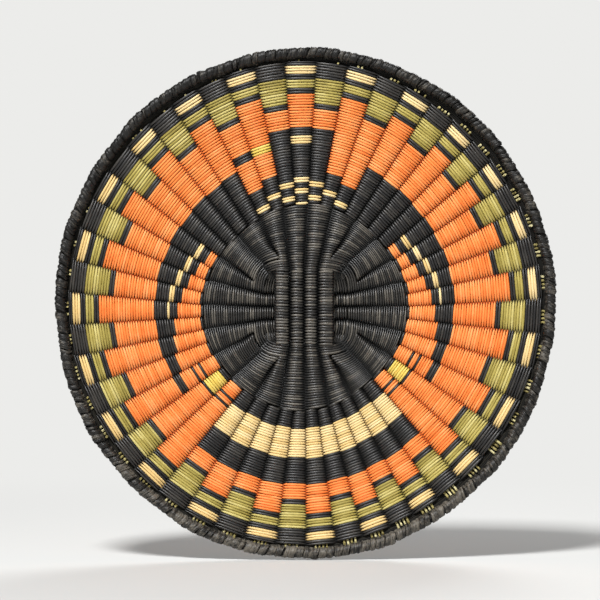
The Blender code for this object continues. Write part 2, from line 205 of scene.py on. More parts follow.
def innerNorm(point, row):
    # Below 1 inside a row and above 1 outside it
    share = (row + 0.5) / inner["rows"]
    power = 1 / mix(1 / inner["squareness"], 0.5, min(1.0, share))
    end = splitEdge(math.degrees(math.atan2(point.x, point.z)))
    wide, high = mix(inner["startWidth"], end, share), mix(inner["startHeight"], end, share)
    return (abs(point.x / wide) ** power + abs(point.z / high) ** power) ** (1 / power)


def innerCurve(angle, row):
    way = direction(angle)
    return way / innerNorm(way, row)


def quarterTurn(point, quarter):
    for _ in range(quarter % 4):
        point = Vector((point.z, point.y, -point.x))
    return point


def bundleAtSplit(bundle):
    first = direction(splitAngle(2 * bundle - 1)) * plaque["splitRadius"]
    second = direction(splitAngle(2 * bundle)) * plaque["splitRadius"]
    return (first + second) / 2


def bundleLayout(bundle):
    # Each quarter has six bundles: places -1 to 2 are its arm's, -2 and 3 the corners' beside it
    quarter, place = divmod(bundle + 2, 6)
    return quarter % 4, place - 2


def fromArmMiddle(bundle):
    return abs(bundleLayout(bundle)[1] - 0.5)


def isCorner(bundle):
    return fromArmMiddle(bundle) > 2


def comesLater(bundle, row):
    return isCorner(bundle) and row < inner["cornerRow"]


def columnAcross(quarter, place):
    columns = matColumns["level" if quarter % 2 else "upright"]
    if quarter in (0, 1):
        return columns[place + 1] * (-1 if quarter else 1)
    return columns[2 - place] * (-1 if quarter == 2 else 1)


def bundleRoute(bundle):
    # The flat route of a bundle of two ribs from the mats, or from its corner tip, to the split
    quarter, place = bundleLayout(bundle)
    if isCorner(bundle):
        side = -1 if place < 1 else 1
        route = [Vector((side * x, 0, z)) for x, z in (inner["cornerTip"], inner["cornerBend"])]
    else:
        start = inner["startWidth" if quarter % 2 else "startHeight"] - inner["routeStart"]
        route = [Vector((columnAcross(quarter, place), 0, start))]
    return [quarterTurn(point, quarter) for point in route] + [bundleAtSplit(bundle)]


def alongRoute(route, share):
    if len(route) == 2:
        return route[0].lerp(route[1], share)
    bend = inner["bendShare"]
    if share < bend:
        return route[0].lerp(route[1], share / bend)
    return route[1].lerp(route[2], (share - bend) / (1 - bend))


def bundleCrossing(bundle, row):
    # Where a bundle crosses a row, found by halving the route
    route = bundleRoute(bundle)
    low, high = 0.0, 1.3
    for _ in range(18):
        middle = (low + high) / 2
        if innerNorm(alongRoute(route, middle), row) < 1:
            low = middle
        else:
            high = middle
    return alongRoute(route, low)


def bundleLift(bundle, row):
    # The upright arms start in front of the level ones, and all come into one sheet further out
    share = inner["liftShares"][fromArmMiddle(bundle)]
    fade = max(0.0, 1 - (row + 1) / (inner["liftEnds"] * inner["rows"])) ** 1.5
    lift = plaque["matOffset"] * share * fade
    return lift if bundleLayout(bundle)[0] % 2 == 0 else -lift


# The pattern: which colour shows on a rib at a row counted from the rim
def bands(wording):
    colours = []
    for part in wording.split(", "):
        count, colour = part.split()
        colours += int(count) * [colour]
    return colours


# Rows where the border, the ring and the outer field end, and where the wings begin
borderEnd, ringEnd, outerFieldEnd, wingRow = 7, 18, 23, 33
lastRow = weave["rows"] - 1
evenBorder = bands("2 black, 3 cream, 2 black, 3 green, 2 black, 40 orange")
oddBorder = bands("7 black, 9 green, 2 black, 34 orange")

# The bird, counted in ribs from the head round to the tail: the row where it begins on a rib, and
# its colours from there in to the split
head = "3 black, 3 cream, 12 black, 2 cream, 2 black, 2 cream, 3 black, 1 cream"
birdRibs = {
    0: (24, head),
    1: (25, "19 black, 2 cream, 3 black, 2 cream, 1 black"),
    2: (40, "6 black, 2 cream, 4 black"),
    3: (43, "6 black, 2 cream, 1 black"),
    16: (wingRow, "3 black, 5 orange, 1 black, 2 orange, 1 black, 20 orange"),
    17: (42, "1 black, 7 yellow, 2 black"),
    18: (42, "1 black, 2 orange, 1 black, 20 orange"),
}
wingBeforeBar = {8: 10, 9: 8, 10: 7, 11: 5, 12: 5}
wingTip = {13: 7, 14: 6, 15: 4}


def birdBands(rib):
    if rib in birdRibs:
        start, wording = birdRibs[rib]
        return start, bands(wording)
    if rib > 18:
        return 23 + rib % 2, bands(f"10 black, {12 - rib % 2} cream, 8 black")
    wording = "20 black"
    if rib in wingBeforeBar:
        bar = 1 if rib == 12 else 2
        wording = f"{wingBeforeBar[rib]} black, {bar} cream, 3 black, 20 orange"
    if rib in wingTip:
        wording = f"{wingTip[rib]} black, 20 orange"
    return wingRow + rib % 2, bands(wording)


def beakColour(rib, row):
    # The head is turned to the left, so the beak shows on two ribs there
    if rib == 46 and 28 <= row < 31:
        return "yellow"
    if rib == 45 and 29 <= row < 32:
        return "black"
    return None


def patternColour(rib, row):
    rib %= ribCount
    mirrored = min(rib, ribCount - rib)
    if row >= lastRow and mirrored != 0:
        return "black"
    start, colours = birdBands(mirrored)
    if row < start:
        start, colours = 0, oddBorder if rib % 2 else evenBorder
    return beakColour(rib, row) or colours[min(row - start, len(colours) - 1)]


def patternPiece(rib, row, colour):
    # The piece that a run of one colour belongs to, by where its middle lies
    rib %= ribCount
    side = "right" if rib < ribCount / 2 else "left"
    mirrored = min(rib, ribCount - rib)
    if row < borderEnd:
        return f"border_{colour}_wefts"
    if row < ringEnd and colour != "orange":
        return f"ring_{colour}_wefts"
    if colour == "orange":
        if row < wingRow:
            return "field_outer_wefts" if row < outerFieldEnd else "field_inner_wefts"
        return f"{side}_body_wefts"
    if mirrored >= 19:
        return f"tail_{colour}_wefts"
    if colour == "yellow":
        return "beak_wefts" if mirrored < 4 else f"{side}_talon_wefts"
    if mirrored < 4:
        return f"head_{colour}_wefts"
    return f"{side}_wing_{colour}_wefts"


# Strands are gathered by piece, and a point has a place, a half thickness, a height in the weave
# and a tone. A stem lasts for some dozens of points, and the next has another tone.
strands = {}
stemPoints = {"first": 20, "shortest": 60, "longest": 140}
dice = random.Random(48)


def addStrand(piece, points, closed=False):
    longest = stemPoints["longest"]
    toned, tone, left = [], dice.random(), dice.randrange(stemPoints["first"], longest)
    for point in points:
        left -= 1
        if left < 0:
            tone, left = dice.random(), dice.randrange(stemPoints["shortest"], longest)
        toned.append((*point, tone))
    strands.setdefault(piece, []).append((toned, closed))


# Where points lie between two ribs, and how a weft swells over a rib and thins between two
gapSteps = (0, 0.15, 0.28, 0.4, 0.5, 0.6, 0.72, 0.85)
wideSteps = (0, 0.07, 0.16, 0.28, 0.42, 0.58, 0.72, 0.84, 0.93)
wave = {
    "outer": {"height": 0.0021, "flatness": 0.55, "waist": 0.66, "belly": 1.02, "taper": 0.9},
    "inner": {"height": 0.0027, "flatness": 0.85, "waist": 0.66, "belly": 0.88, "taper": 0.7},
    "mat": {"height": 0.0026, "flatness": 0.62, "waist": 0.54, "belly": 0.88, "taper": 0.7},
    # edgeLow sets how much darker the sides of a weft are painted, as shade; backFrom is where its
    # back begins
    "edgeLow": 0.65,
    "backFrom": -0.3,
}
weftSection = {"corners": 8, "thickness": 0.8, "squareness": 2.2, "merge": 0.00001}


def wavePoint(place, normal, share, side, half, zone="inner"):
    # From one rib at share 0 to the next at share 1: with side 1, in front of the first of them
    form = wave[zone]
    swing = math.cos(math.pi * share)
    bow = math.copysign(abs(swing) ** form["flatness"], swing) * side
    slim = mix(form["waist"], form["belly"], abs(swing) ** form["taper"])
    return place + normal * bow * form["height"], half * slim, bow


def jitter(size):
    return dice.uniform(-size, size)


def makeOuterWefts():
    # Every other weft crosses a rib in front, so a woven row is seen on each rib for two wefts
    rowPitch = (outerRadius(0) - outerRadius(plaque["rows"])) / plaque["rows"]
    for row in range(1, 2 * weave["rows"]):
        level = row / 2 + 0.25
        over = [rib for rib in range(ribCount) if (rib + row) % 2]
        seen = row // 2
        colours = []
        for rib in over:
            inside = freeReach(rib, level) > weave["edge"] - weave["pastEdge"]
            colours.append(patternColour(rib, seen) if inside else None)
        radius = outerRadius(level * plaque["rows"] / weave["rows"])
        slope = dishSlope(radius)
        drift = [jitter(weave["drift"]) for _ in range(ribCount)]
        halves = []
        for rib in range(ribCount):
            spread = rowReach(rib, level + 0.5) - rowReach(rib, level - 0.5)
            spread = max(weave["leastSpread"], spread)
            halves.append(spread * rowPitch / 2 * math.sqrt(1 + slope * slope))

        def weftPoints(first, last):
            points = []
            for rib in range(first, last):
                side = 1 if (rib + row) % 2 else -1
                a, b = rib % ribCount, (rib + 1) % ribCount
                for share in gapSteps:
                    reach = rowReach(rib + share, level + mix(drift[a], drift[b], share))
                    place = outerPlace(rib + share, reach)
                    normal = dishNormal(place, radius)
                    half = mix(halves[a], halves[b], share)
                    points.append(wavePoint(place, normal, share, side, half, "outer"))
            return points

        if len(set(colours)) == 1:
            piece = patternPiece(over[0] + ribCount // 2, seen, colours[0])
            addStrand(piece, weftPoints(over[0], over[0] + ribCount), closed=True)
            continue
        starts = [n for n in range(len(over)) if colours[n] != colours[n - 1]]
        for n, start in enumerate(starts):
            stop = starts[(n + 1) % len(starts)]
            if stop <= start:
                stop += len(over)
            first, last = over[start], over[start] + 2 * (stop - start - 1)
            colour = colours[start]
            if not colour:
                continue
            piece = patternPiece((first + last) // 2, seen, colour)
            points = weftPoints(first - 1, last + 1)
            end = weftPoints(last + 1, last + 2)[:1]
            addStrand(piece, points + end)


def makeInnerWefts():
    # One weft a row, in front of one bundle and behind the next. The corner bundles come in later.
    for row in range(inner["rows"]):
        crossings = []
        for bundle in range(bundles):
            if not comesLater(bundle, row):
                flat = bundleCrossing(bundle, row)
                crossings.append((bundle, flat, bundleLift(bundle, row)))
        points = []
        for n, (bundle, flat, lift) in enumerate(crossings):
            _, nextFlat, nextLift = crossings[(n + 1) % len(crossings)]
            side = 1 if (bundle - row) % 2 == 0 else -1
            start = math.degrees(math.atan2(flat.x, flat.z))
            sweep = (math.degrees(math.atan2(nextFlat.x, nextFlat.z)) - start) % 360
            wide = (nextFlat - flat).length > inner["wideGap"]
            for share in wideSteps if wide else gapSteps:
                place = innerCurve(start + sweep * share, row)
                radius = place.length
                within = innerCurve(start + sweep * share, row - 1).length
                depth = plaque["middleDepth"] + mix(lift, nextLift, share) + dish(radius)
                place = place + towardsViewer * depth
                normal = dishNormal(place, radius)
                half = min(crestRadius, (radius - within) * inner["overlap"])
                points.append(wavePoint(place, normal, share, side, half))
        piece = "inner_ring_wefts" if row >= inner["firstRing"] else "first_ring_wefts"
        addStrand(piece, points, closed=True)


# Beside the upright mat: side, place of the first row and number of rows. They cross the level ribs
# and lean in to tuck behind the mat's corners.
shortRows = {
    "sides": ((-1, 0.0188, 10), (1, 0.0173, 12)),
    "overrun": 0.0001,
    "end": (-0.0012, 0.0215, 0.003),  # out from the first row, up, and back
    "endStep": (0.00072, 0.0001),
    "lean": (0.62, -0.004, 0.0014),  # as a share of the way to the end, up from it, and back
    "tuck": (-0.0008, 0.0024, 0.0016),  # out and up from the end, and back
    "slim": 0.5,
    # leanCrest: how high the leaning ends count for the painted shade of the weft material; the
    # tucked ends count as low
    "leanCrest": 0.6,
}


def makeShortRows():
    columns = matColumns["level"]
    depth = plaque["matOffset"] - plaque["middleDepth"]
    leanCrest = shortRows["leanCrest"]
    endOut, endUp, endBack = shortRows["end"]
    stepOut, stepUp = shortRows["endStep"]
    leanShare, leanUp, leanBack = shortRows["lean"]
    tuckOut, tuckUp, tuckBack = shortRows["tuck"]
    for side, start, rows in shortRows["sides"]:
        pitch = (inner["startWidth"] + shortRows["overrun"] - start) / rows
        for n in range(rows):
            x = start + pitch * (n + 0.5)
            endX, endZ = start + endOut + stepOut * n, endUp + stepUp * n
            tail = (
                (mix(x, endX, leanShare), depth - leanBack, endZ + leanUp, leanCrest),
                (endX, depth - endBack, endZ, leanCrest),
                (endX + tuckOut, depth - tuckBack, endZ + tuckUp, 0.0),
            )
            slim = pitch * shortRows["slim"]
            points = [(Vector((side * a, y, z)), slim, crest) for a, y, z, crest in reversed(tail)]
            for column, z in enumerate(columns):
                front = 1 if (column + n) % 2 == 0 else -1
                after = columns[min(column + 1, 3)]
                for share in gapSteps if column < 3 else (0,):
                    place = Vector((side * x, depth, mix(z, after, share)))
                    points.append(wavePoint(place, towardsViewer, share, front, pitch))
            points += [(Vector((side * a, y, -z)), slim, crest) for a, y, z, crest in tail]
            addStrand("first_ring_wefts", points)


# In the mats one weft after another crosses the four columns and turns round the outer ones
mats = {
    "pitch": 0.00091,
    "overrun": 0.0002,
    "turnOut": {"upright": (0.0034, 0.0041), "level": (0.0046, 0.0046)},
    "turnShare": 0.86,
    "tuck": 0.0014,
    "tuckSize": 0.9,
    "sway": 0.00014,
}


def makeMatWefts(piece, halfLength, way):
    upright = way == "upright"
    count = 2 * round(halfLength / mats["pitch"])
    pitch = 2 * halfLength / count
    depth = plaque["middleDepth"] + (plaque["matOffset"] if upright else -plaque["matOffset"])
    columns = [x if upright else -x for x in matColumns[way]]
    turnHeight = mats["turnShare"] * wave["mat"]["height"]

    def laid(across, along, lift):
        flat = Vector((across, 0, along)) if upright else Vector((along, 0, -across))
        return flat + towardsViewer * (depth + lift)

    def turn(across, along, side):
        return laid(across, along, side * turnHeight), pitch, side * mats["turnShare"]

    def tucked(across, along):
        return laid(across, along, 0), pitch * mats["tuckSize"], 0.0

    for row in range(count):
        along = -halfLength + pitch * (row + 0.5)
        ways = 1 if row % 2 == 0 else -1
        sway = [jitter(mats["sway"]) for _ in range(4)]
        order, (firstOut, lastOut) = columns[::ways], mats["turnOut"][way][::ways]
        first, last = order[0], order[3]
        points = [tucked(first - ways * (firstOut + mats["tuck"]), along - pitch / 2)]
        points.append(turn(first - ways * firstOut, along, -1))
        for step in range(4):
            side = 1 if step % 2 else -1
            after = order[min(step + 1, 3)]
            for share in gapSteps if step < 3 else (0,):
                up, half, bow = wavePoint(Vector(), Vector((0, 0, 1)), share, side, pitch, "mat")
                place = laid(mix(order[step], after, share), along + sway[step], up.z)
                points.append((place, half, bow))
        points.append(turn(last + ways * lastOut, along, 1))
        points.append(tucked(last + ways * (lastOut + mats["tuck"]), along + pitch / 2))
        addStrand(piece, points)


def newCurve(name, dimensions):
    curve = bpy.data.curves.new(name, "CURVE")
    curve.dimensions = dimensions
    made = bpy.data.objects.new(name, curve)
    bpy.context.collection.objects.link(made)
    return made, curve


def ovalProfile():
    # The section of a weft: wider along the rib than it is thick, and pressed a little flat
    corners, power = weftSection["corners"], weftSection["squareness"]
    section, curve = newCurve("weftSection", "2D")
    spline = curve.splines.new("POLY")
    spline.points.add(corners - 1)
    for n, point in enumerate(spline.points):
        angle = 2 * math.pi * n / corners
        across, up = math.cos(angle), math.sin(angle)
        size = (abs(across) ** power + abs(up) ** power) ** (-1 / power)
        point.co = (across * size, up * size * weftSection["thickness"], 0, 1)
    spline.use_cyclic_u = True
    return section


def curveObject(name, splines, section):
    # Laid flat, so that the section keeps its thickness upright, and stood up afterwards
    made, curve = newCurve(name, "3D")
    curve.twist_mode = "Z_UP"
    if section:
        curve.bevel_mode = "OBJECT"
        curve.bevel_object = section
    else:
        curve.bevel_depth = 1.0
        curve.bevel_resolution = 2
    for points, closed in splines:
        spline = curve.splines.new("POLY")
        spline.points.add(len(points) - 1)
        flat = [v for place, *_ in points for v in (place.x, place.z, -place.y, 1.0)]
        spline.points.foreach_set("co", flat)
        spline.points.foreach_set("radius", [half for _, half, *_ in points])
        spline.use_cyclic_u = closed
    made.rotation_euler = (math.radians(90), 0, 0)
    return made


def chooseOnly(*items):
    bpy.ops.object.select_all(action="DESELECT")
    for item in items:
        item.select_set(True)
    bpy.context.view_layer.objects.active = items[0]


def keepValues(piece, values):
    # What the materials read from a piece's points
    for title, column in values.items():
        layer = piece.data.attributes.new(title, "FLOAT", "POINT")
        layer.data.foreach_set("value", column)


def meshFromCurves(name, splines, section=None):
    # The mesh has one ring of points for each point of a curve, so the rings take on its values.
    # What lies high on the face of the weave lies low on its back. The crest value also drops at
    # the sides of each weft, which paints shade between neighbouring wefts.
    piece = curveObject(name, splines, section)
    chooseOnly(piece)
    bpy.ops.object.convert(target="MESH")
    bpy.ops.object.transform_apply(location=True, rotation=True, scale=True)
    piece = bpy.context.object
    values = [point for points, _ in splines for point in points]
    around = len(piece.data.vertices) // len(values)
    kept = {"crest": [], "tone": []}
    for n, vertex in enumerate(piece.data.vertices):
        place, half, crest, tone = values[n // around]
        front = (place.y - vertex.co.y) / half / weftSection["thickness"]
        # Painted shade: the sides of each weft get a lower crest, so the dark colour lines the gaps
        # between wefts
        low = wave["edgeLow"] * math.sqrt(max(0.0, 1 - front * front))
        kept["crest"].append((crest if front > wave["backFrom"] else -crest) - low)
        kept["tone"].append(tone)
    keepValues(piece, kept)
    bpy.ops.object.mode_set(mode="EDIT")
    bpy.ops.mesh.select_all(action="SELECT")
    bpy.ops.mesh.remove_doubles(threshold=weftSection["merge"])
    bpy.ops.mesh.select_all(action="SELECT")
    bpy.ops.mesh.fill_holes(sides=weftSection["corners"])
    bpy.ops.mesh.select_all(action="SELECT")
    bpy.ops.mesh.normals_make_consistent(inside=False)
    bpy.ops.object.mode_set(mode="OBJECT")
    bpy.ops.object.shade_smooth_by_angle(angle=math.radians(60))
    return piece


# Ribs: eight thin peeled stems side by side in each, as wide as there is room between the next ribs
stems = {
    "each": 8,
    "room": 0.0018,
    "overlap": 0.54,
    "roundness": 0.8,
    "mostRoom": 0.008,
    "cornerStart": 0.0008,
    "innerRows": (0, 8, 16, 26, 36, 44),
    "outerRows": (46, 36, 24, 14, 6, 2),
}


def bundleHalf(bundle, row):
    # Half the room that a bundle of two ribs has to its nearest neighbour
    flat = bundleCrossing(bundle, row)
    gaps = []
    for step in (-1, 1):
        other = bundle + step
        while comesLater(other % bundles, row):
            other += step
        gaps.append((bundleCrossing(other % bundles, row) - flat).length)
    return min(min(gaps) / 2, stems["mostRoom"])


def ribStations(rib):
    # Middle, way across and width of a rib from the mats out to the rim
    bundle = (rib + 1) % ribCount // 2
    half = -1 if rib % 2 else 1
    stations = []
    rows = stems["innerRows"][1 if isCorner(bundle) else 0 :]
    for row in rows:
        flat = bundleCrossing(bundle, row)
        depth = plaque["middleDepth"] + bundleLift(bundle, row) + dish(flat.length)
        across = Vector((flat.z, 0, -flat.x)).normalized()
        first = isCorner(bundle) and row == rows[0]
        reach = stems["cornerStart"] if first else bundleHalf(bundle, row) / 2
        middle = flat + towardsViewer * depth + across * half * reach
        stations.append((middle, across, 2 * reach))
    for row in stems["outerRows"]:
        middle = outerPlace(rib, row)
        across = outerPlace(rib + 0.5, row) - outerPlace(rib - 0.5, row)
        stations.append((middle, across.normalized(), across.length))
    return stations


def stemPaths(stations):
    # The stems fill the room between the wefts in front and behind, the outer ones thinner
    paths = []
    for n in range(stems["each"]):
        share = (n + 0.5) / stems["each"] - 0.5
        room = stems["room"] * math.cos(math.pi * share) ** stems["roundness"]
        path = []
        for middle, across, width in stations:
            radius = min(width / stems["each"] * stems["overlap"], room)
            path.append((middle + across * width * share, radius, 1.0))
        paths.append(path)
    return paths


# The cut ends come out from under the outermost weft, pale, and turned up a little by the rim.
# Fewer and shorter ones show away from the lower right.
tips = {
    "each": 4,
    "spread": 0.0094,
    "lift": 0.0022,
    "liftRange": (0.2, 1.0),
    "radius": 0.00074,
    "radiusRange": (0.8, 1.1),
    "reach": 1.0,
    "reachRange": (0.75, 1.05),
    "fromRow": (0.8, 1.3),
    "toRow": -0.5,
    "mostAt": 145,
    "shown": (0.6, 0.4),
    "kept": 1.6,
    "bends": ((0, 0), (0.45, 0), (0.8, 0.35), (1, 1)),  # shares of the reach and of the lift
}


def makeTips(station, rib):
    inside = outerPlace(rib, rowReach(rib, tips["fromRow"][rib % 2]))
    outside = outerPlace(rib, rowReach(rib, tips["toRow"]) - tips["reach"])
    outward = (outside - inside).normalized()
    usual, more = tips["shown"]
    shown = usual + more * math.cos(math.radians(rimAngle(rib) - tips["mostAt"]))
    middle, across, _ = station
    for n in range(tips["each"]):
        if dice.random() > tips["kept"] * shown:
            continue
        last = middle + across * tips["spread"] * ((n + 0.5) / tips["each"] - 0.5)
        foot = last + outward * (inside - last).dot(outward)
        reach = outward * (outside - inside).length * dice.uniform(*tips["reachRange"]) * shown
        lift = towardsViewer * tips["lift"] * dice.uniform(*tips["liftRange"])
        radius = tips["radius"] * dice.uniform(*tips["radiusRange"])
        tip = [(foot + reach * out + lift * up, radius, 1.0) for out, up in tips["bends"]]
        addStrand("rib_tips", tip)


def longRib(piece, farRib, nearRib):
    near, far = ribStations(nearRib), ribStations(farRib)
    makeTips(near[-1], nearRib)
    makeTips(far[-1], farRib)
    for nearPath, farPath in zip(stemPaths(near), reversed(stemPaths(far))):
        addStrand(piece, farPath[::-1] + nearPath)


def makeRibs():
    # Eight from rim to rim each way, numbered from the top clockwise, and four at each corner
    half, quarter = ribCount // 2, ribCount // 4
    for n in range(8):
        longRib("upright_rib_stems", half + 4 - n, (n - 3) % ribCount)
        longRib("level_rib_stems", half + quarter + 4 - n, quarter - 3 + n)
    for corner in range(4):
        for n in range(4):
            rib = (corner * quarter + 5 + n) % ribCount
            stations = ribStations(rib)
            makeTips(stations[-1], rib)
            for path in stemPaths(stations):
                addStrand("corner_rib_stems", path)


# Rim: long fibrous strips wound on edge to edge, each turn wider or narrower than the last and
# askew. They are paler towards the bottom, and darker on the left, which is painted shade.
rim = {
    "strips": 5,
    "turns": 280,
    "steps": 16,
    "across": 10,
    "radius": 0.0029,
    "crown": 0.00055,
    "crownPower": 2.4,
    "rough": 0.0002,
    "askew": 0.0011,
    "slant": 0.0018,
    "thickness": 0.00045,
    "inward": 0.0018,
    "widths": (0.5, 1.5),
    "levels": (-0.0004, 0.0003),
    "bumps": ((0.0004, 9, 1), (0.0003, 23, 0)),
    "seamAngle": 0.6,
    "inwardAngle": 228,
    "raggedFrom": 0.9,
    "ragged": 0.15,
    "shadeSpread": 0.7,
    "paleBelow": 0.5,
    "palestAt": 0.52,
    "darkLeft": 0.15,
    "grainStep": 0.01,
    "grainLength": 0.02,
}


def rimTurns():
    # Where each turn starts round the rim, as shares of the whole, with uneven widths
    widths = [dice.uniform(*rim["widths"]) for _ in range(rim["turns"])]
    total = sum(widths)
    starts, covered = [], 0.0
    for width in widths:
        starts.append(covered / total)
        covered += width
    return starts + [1.0]


def rimPlace(turn, sectionAngle, distance):
    way = Vector((math.sin(turn), 0, math.cos(turn)))
    centre = rimCentre + Vector((way.x * rimRadii[0], 0, way.z * rimRadii[1]))
    centre += towardsViewer * (plaque["middleDepth"] + plaque["dishDepth"])
    bump = sum(size * math.sin(times * turn + start) for size, times, start in rim["bumps"])
    out = way * math.cos(sectionAngle) + towardsViewer * math.sin(sectionAngle)
    return centre + way * bump + out * distance


def between(values, place):
    # The value at a place along a list
    first = min(int(place), len(values) - 2)
    return mix(values[first], values[first + 1], place - first)


def makeRimStrip(name, starts):
    turns = len(starts) - 1
    steps, across = turns * rim["steps"], rim["across"]
    bpy.ops.object.select_all(action="DESELECT")
    bpy.ops.mesh.primitive_grid_add(x_subdivisions=steps, y_subdivisions=across, size=2)
    strip = bpy.context.object
    strip.name = strip.data.name = name
    levels = [dice.uniform(*rim["levels"]) for _ in range(turns + 2)]
    leans = [jitter(rim["askew"]) for _ in range(turns + 2)]
    ridges = list(zip(*[[jitter(1) for _ in range(across + 1)] for _ in range(2 * turns + 4)]))
    shades = []
    # Each turn's tone: a random share, paler towards the bottom, and painted shade on the left
    for start in [*starts, starts[-1]]:
        low = 0.5 + 0.5 * math.cos(2 * math.pi * (start - rim["palestAt"]))
        left = max(0.0, -math.sin(2 * math.pi * start))
        shade = rim["shadeSpread"] * dice.random()
        shades.append(shade + rim["paleBelow"] * low**3 - rim["darkLeft"] * left)
    values = {"tone": [], "across": [], "along": []}
    for vertex in strip.data.vertices:
        along, aside = (vertex.co.x + 1) / 2 * turns, vertex.co.y
        turn = min(int(along), turns - 1)
        spot = 2 * math.pi * between(starts, along)
        width = 2 * math.pi * (starts[turn + 1] - starts[turn])
        angle = 2 * math.pi * (along - turn) + rim["seamAngle"]
        ridge = between(ridges[round((aside + 1) / 2 * across)], 2 * along)
        inwardBack = max(0.0, math.cos(angle - math.radians(rim["inwardAngle"])))
        crown = 1 - abs(aside) ** rim["crownPower"]
        distance = rim["radius"] + rim["crown"] * crown + rim["rough"] * ridge
        distance += between(levels, along) + rim["inward"] * inwardBack**4
        lean = between(leans, along) * math.sin(angle)
        lean = (lean + rim["slant"] * math.cos(angle)) / rimRadius
        ragged = 1.0 + rim["ragged"] * ridge if abs(aside) > rim["raggedFrom"] else 1.0
        vertex.co = rimPlace(spot + lean + aside * ragged * width / 2, angle, distance)
        values["tone"].append(between(shades, along))
        values["across"].append(aside * width * rimRadius / 2 + turn * rim["grainStep"])
        values["along"].append(along * rim["grainLength"])
    keepValues(strip, values)
    chooseOnly(strip)
    bpy.ops.object.mode_set(mode="EDIT")
    bpy.ops.mesh.select_all(action="SELECT")
    bpy.ops.mesh.normals_make_consistent(inside=False)
    bpy.ops.object.mode_set(mode="OBJECT")
    solid = strip.modifiers.new("thickness", "SOLIDIFY")
    solid.thickness = rim["thickness"]
    solid.offset = -1
    bpy.ops.object.modifier_apply(modifier=solid.name)
    bpy.ops.object.shade_smooth_by_angle(angle=math.radians(50))
    return strip


# The ribs' outer ends are bent round beside the core, and fill the gap between weave and binding.
# Their near-black stem colour is painted shade.
bent = {
    "count": 7,
    "outer": -1.35,
    "inner": 1.6,
    "radius": 0.00085,
    "behind": 0.0008,
    "slope": 0.0009,
    "roughRow": 0.12,
    "roughDepth": 0.0003,
}


def makeBentStems():
    for n in range(bent["count"]):
        share = n / (bent["count"] - 1)
        points = []
        for step in range(3 * ribCount):
            rib = step / 3
            reach = mix(bent["outer"], rowReach(rib, bent["inner"]), share)
            place = outerPlace(rib, reach + jitter(bent["roughRow"]))
            back = bent["behind"] + bent["slope"] * share + jitter(bent["roughDepth"])
            points.append((place - towardsViewer * back, bent["radius"], 1.0))
        addStrand("bent_rib_stems", points, closed=True)


# Shader maths: sockets with operators, and one method for every other node
class Wire:
    def __init__(self, sheet, socket):
        self.sheet, self.socket = sheet, socket

    def maths(self, operation, first, second):
        inputs = {0: first, 1: second}
        return self.sheet.node("ShaderNodeMath", {"operation": operation}, inputs)["Value"]

    def __add__(self, other):
        return self.maths("ADD", self, other)

    def __sub__(self, other):
        return self.maths("SUBTRACT", self, other)

    def __rsub__(self, other):
        return self.maths("SUBTRACT", other, self)

    def __mul__(self, other):
        return self.maths("MULTIPLY", self, other)

    __radd__, __rmul__ = __add__, __mul__


class Outputs:
    def __init__(self, sheet, made):
        self.sheet, self.made = sheet, made

    def __getitem__(self, name):
        return Wire(self.sheet, self.made.outputs[name])


class Sheet:
    # The nodes of a material or of the world
    def __init__(self, owner):
        owner.use_nodes = True
        self.owner, self.tree = owner, owner.node_tree

    def node(self, kind, settings=None, inputs=None):
        made = self.tree.nodes.new(kind)
        for key, value in (settings or {}).items():
            if key == "stops":
                self.setStops(made.color_ramp, value)
            else:
                setattr(made, key, value)
        for key, value in (inputs or {}).items():
            self.feed(made.inputs[key], value)
        return Outputs(self, made)

    def setStops(self, ramp, stops):
        while len(ramp.elements) > 1:
            ramp.elements.remove(ramp.elements[-1])
        for n, (place, colour) in enumerate(stops):
            element = ramp.elements[0] if n == 0 else ramp.elements.new(place)
            element.position, element.color = place, colour

    def feed(self, socket, value):
        if isinstance(value, Wire):
            self.tree.links.new(value.socket, socket)
        else:
            socket.default_value = value

    def given(self, title):
        # A node that the material or the world has from the start
        return self.tree.nodes[title]

    def set(self, name, value):
        self.feed(self.given("Principled BSDF").inputs[name], value)

    def objectPlace(self):
        return self.node("ShaderNodeTexCoord")["Object"]

    def lengthOf(self, vector):
        return self.node("ShaderNodeVectorMath", {"operation": "LENGTH"}, {0: vector})["Value"]

    def vector(self, x, y, z):
        return self.node("ShaderNodeCombineXYZ", None, {0: x, 1: y, 2: z})["Vector"]

    def attribute(self, title):
        return self.node("ShaderNodeAttribute", {"attribute_name": title})["Fac"]

    def noise(self, vector, scale, detail, roughness):
        inputs = {"Vector": vector, "Scale": scale, "Detail": detail, "Roughness": roughness}
        return self.node("ShaderNodeTexNoise", None, inputs)["Fac"]

    def ramp(self, level, places, colours):
        stops = [(place, linear(*colour)) for place, colour in zip(places, colours)]
        return self.node("ShaderNodeValToRGB", {"stops": stops}, {0: level})["Color"]

    def smoothStep(self, value, low, high):
        span = {"From Min": low, "From Max": high, "Value": value}
        made = self.node("ShaderNodeMapRange", {"interpolation_type": "SMOOTHSTEP"}, span)
        return made["Result"]

    def bump(self, height, strength, distance):
        inputs = {"Height": height, "Strength": strength, "Distance": distance}
        self.set("Normal", self.node("ShaderNodeBump", None, inputs)["Normal"])


def linear(red, green, blue):
    # From the 0 to 255 values of a picture to the shader's own
    def channel(value):
        value /= 255
        return value / 12.92 if value <= 0.04045 else ((value + 0.055) / 1.055) ** 2.4

    return (channel(red), channel(green), channel(blue), 1)


# Grain of the stems: the scale, detail and roughness of its noises, how far the fibre is drawn out
# along a stem, and its relief
stemGrain = {
    "fibre": (2600.0, 2.0, 0.6),
    "mottle": (95.0, 2.0, 0.55),
    "stretch": 0.1,
    "turnStretch": 0.012,
    "bump": (0.35, 0.00012),
    "roughSpread": 0.2,
    "stops": (0.18, 0.5, 0.85),
}


